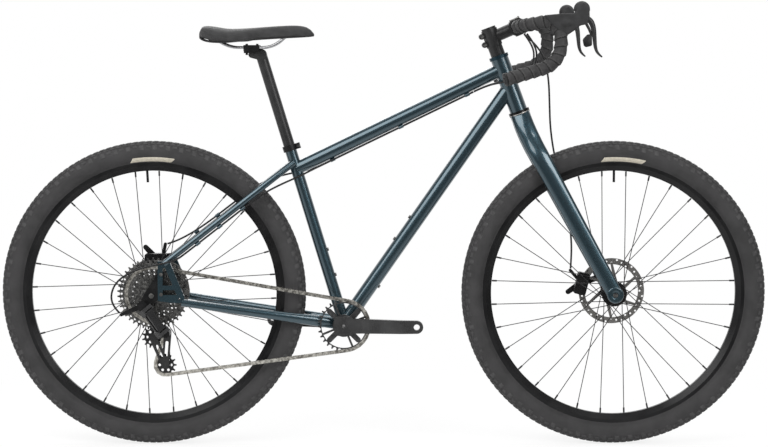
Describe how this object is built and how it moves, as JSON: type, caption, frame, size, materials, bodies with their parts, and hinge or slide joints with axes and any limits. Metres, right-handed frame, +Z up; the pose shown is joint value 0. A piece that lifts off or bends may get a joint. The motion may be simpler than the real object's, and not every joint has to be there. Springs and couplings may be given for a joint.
{
  "type": "gravel bike",
  "caption": "Drop-bar gravel bike with a steel-tube frame, wide knobbed tyres, disc brakes and a single-ring chain drive.",
  "frame": {"origin": "on the ground, midway between the ends of the bike", "axes": "+X forward, +Y to the rider's left, +Z up"},
  "size_m": [1.8479, 0.5634, 1.0679],
  "materials": {
    "frame_paint": "gloss",
    "black_alloy": "satin",
    "steel": "satin",
    "black_steel": "satin",
    "tyre_rubber": "matte",
    "tape": "matte",
    "hood_rubber": "matte",
    "pad_cover": "matte",
    "plastic": "matte",
    "housing": "satin"
  },
  "bodies": {
    "frame": {"head_tube": "frame_paint", "top_tube": "frame_paint", "down_tube": "frame_paint", "seat_tube": "frame_paint", "bottom_bracket_shell": "frame_paint", "bearing_cups": "black_alloy", "chainstays": "frame_paint", "seatstays": "frame_paint", "dropouts": "frame_paint", "axle_plates": "black_alloy", "frame_bolts": "steel", "cable_guides": "frame_paint", "seat_collar": "black_alloy", "rear_axle": "steel", "rear_caliper": "black_alloy", "frame_cables": "housing", "chain": "steel", "derailleur_knuckle": "black_alloy"},
    "seat": {"seatpost": "black_alloy", "saddle_clamp": "black_alloy", "saddle_rails": "steel", "saddle_base": "plastic", "saddle_pad": "pad_cover"},
    "steering": {"fork_crown": "frame_paint", "fork_legs": "frame_paint", "front_axle": "steel", "headset_spacers": "black_alloy", "stem": "black_alloy", "stem_bolts": "steel", "handlebar": "black_alloy", "bar_tape": "tape", "lever_hoods": "hood_rubber", "front_caliper": "black_alloy", "front_brake_housing": "housing", "steering_cables": "housing"},
    "right_lever": {"right_brake_lever": "black_alloy"},
    "left_lever": {"left_brake_lever": "black_alloy"},
    "paddle": {"shift_paddle": "plastic"},
    "front_brake": {"front_caliper_arm": "black_alloy"},
    "rear_brake": {"rear_caliper_arm": "black_alloy"},
    "front_wheel": {"front_tyre": "tyre_rubber", "front_rim": "black_alloy", "front_spokes": "black_steel", "front_hub": "black_alloy", "front_rotor": "steel"},
    "rear_wheel": {"rear_tyre": "tyre_rubber", "rear_rim": "black_alloy", "rear_spokes": "black_steel", "rear_hub": "black_alloy", "rear_rotor": "steel"},
    "cogs": {"cassette": "steel"},
    "cranks": {"right_crank_arm": "black_alloy", "chainring": "black_alloy", "left_crank_arm": "black_alloy"},
    "outer_link": {"derailleur_outer_link": "black_alloy"},
    "inner_link": {"derailleur_inner_link": "black_alloy"},
    "lower_knuckle": {"cage_knuckle": "black_alloy"},
    "cage": {"derailleur_cage": "black_alloy"},
    "upper_jockey": {"upper_jockey_wheel": "plastic"},
    "lower_jockey": {"lower_jockey_wheel": "plastic"}
  },
  "joints": [
    {"name": "steering", "type": "hinge", "parent": "frame", "child": "steering", "pos_m": [0.32825, 0, 0.8001], "axis": [-0.3502, 0, 0.9367], "range_deg": [-70, 70], "deforming": ["steering_cables"]},
    {"name": "front_wheel_spin", "type": "hinge", "parent": "steering", "child": "front_wheel", "pos_m": [0.556, 0, 0.368], "axis": [0, 1, 0], "continuous": true},
    {"name": "rear_wheel_spin", "type": "hinge", "parent": "frame", "child": "rear_wheel", "pos_m": [-0.556, 0, 0.368], "axis": [0, 1, 0], "continuous": true},
    {"name": "crank_spin", "type": "hinge", "parent": "frame", "child": "cranks", "pos_m": [-0.09607, 0, 0.293], "axis": [0, 1, 0], "continuous": true, "deforming": ["chain"]},
    {"name": "cassette_spin", "type": "hinge", "parent": "frame", "child": "cogs", "pos_m": [-0.556, 0, 0.368], "axis": [0, 1, 0], "continuous": true},
    {"name": "upper_jockey_spin", "type": "hinge", "parent": "cage", "child": "upper_jockey", "pos_m": [-0.55689, -0.0357, 0.2637], "axis": [0, 1, 0], "continuous": true},
    {"name": "lower_jockey_spin", "type": "hinge", "parent": "cage", "child": "lower_jockey", "pos_m": [-0.52732, -0.0357, 0.19594], "axis": [0, 1, 0], "continuous": true},
    {"name": "derailleur_shift", "type": "hinge", "parent": "frame", "child": "outer_link", "pos_m": [-0.55995, -0.10166, 0.33355], "axis": [0.6506, 0.5299, 0.544], "range_deg": [-38, 9], "deforming": ["chain"]},
    {"name": "inner_link_swing", "type": "hinge", "parent": "frame", "child": "inner_link", "pos_m": [-0.56605, -0.08894, 0.32845], "axis": [0.6506, 0.5299, 0.544], "range_deg": [-38, 9]},
    {"name": "knuckle_swing", "type": "hinge", "parent": "outer_link", "child": "lower_knuckle", "pos_m": [-0.53014, -0.09188, 0.28837], "axis": [0.6506, 0.5299, 0.544], "range_deg": [-9, 38]},
    {"name": "cage_pivot", "type": "hinge", "parent": "lower_knuckle", "child": "cage", "pos_m": [-0.5205, -0.0357, 0.277], "axis": [0, -1, 0], "range_deg": [-67, 16], "deforming": ["chain"]},
    {"name": "right_brake_lever_pull", "type": "hinge", "parent": "steering", "child": "right_lever", "pos_m": [0.46017, -0.216, 1.02992], "axis": [0, 1, 0], "range_deg": [0, 25], "stiffness_Nm_per_rad": 2},
    {"name": "left_brake_lever_pull", "type": "hinge", "parent": "steering", "child": "left_lever", "pos_m": [0.46017, 0.216, 1.02992], "axis": [0, 1, 0], "range_deg": [0, 25], "stiffness_Nm_per_rad": 2},
    {"name": "shift_paddle_swing", "type": "hinge", "parent": "right_lever", "child": "paddle", "pos_m": [0.46417, -0.216, 1.00992], "axis": [0.4244, 0, -0.9055], "range_deg": [0, 20], "stiffness_Nm_per_rad": 0.5},
    {"name": "rear_caliper_pull", "type": "hinge", "parent": "frame", "child": "rear_brake", "pos_m": [-0.55731, 0.0555, 0.44299], "axis": [0, 1, 0], "range_deg": [0, 20]},
    {"name": "front_caliper_pull", "type": "hinge", "parent": "steering", "child": "front_brake", "pos_m": [0.48323, 0.0395, 0.38614], "axis": [0, 1, 0], "range_deg": [0, 20]},
    {"name": "seatpost_height", "type": "slide", "parent": "frame", "child": "seat", "axis": [-0.2924, 0, 0.9563], "range_m": [-0.13, 0.03]}
  ],
  "couplings": [
    {"joint": "cassette_spin", "follows": "crank_spin", "ratio": 0.9375},
    {"joint": "upper_jockey_spin", "follows": "crank_spin", "ratio": -2.5},
    {"joint": "lower_jockey_spin", "follows": "crank_spin", "ratio": 2.5},
    {"joint": "inner_link_swing", "follows": "derailleur_shift", "ratio": 1},
    {"joint": "knuckle_swing", "follows": "derailleur_shift", "ratio": -1},
    {"joint": "cage_pivot", "follows": "derailleur_shift", "ratio": 1.75},
    {"joint": "rear_caliper_pull", "follows": "right_brake_lever_pull", "ratio": 0.8},
    {"joint": "front_caliper_pull", "follows": "left_brake_lever_pull", "ratio": 0.8}
  ]
}
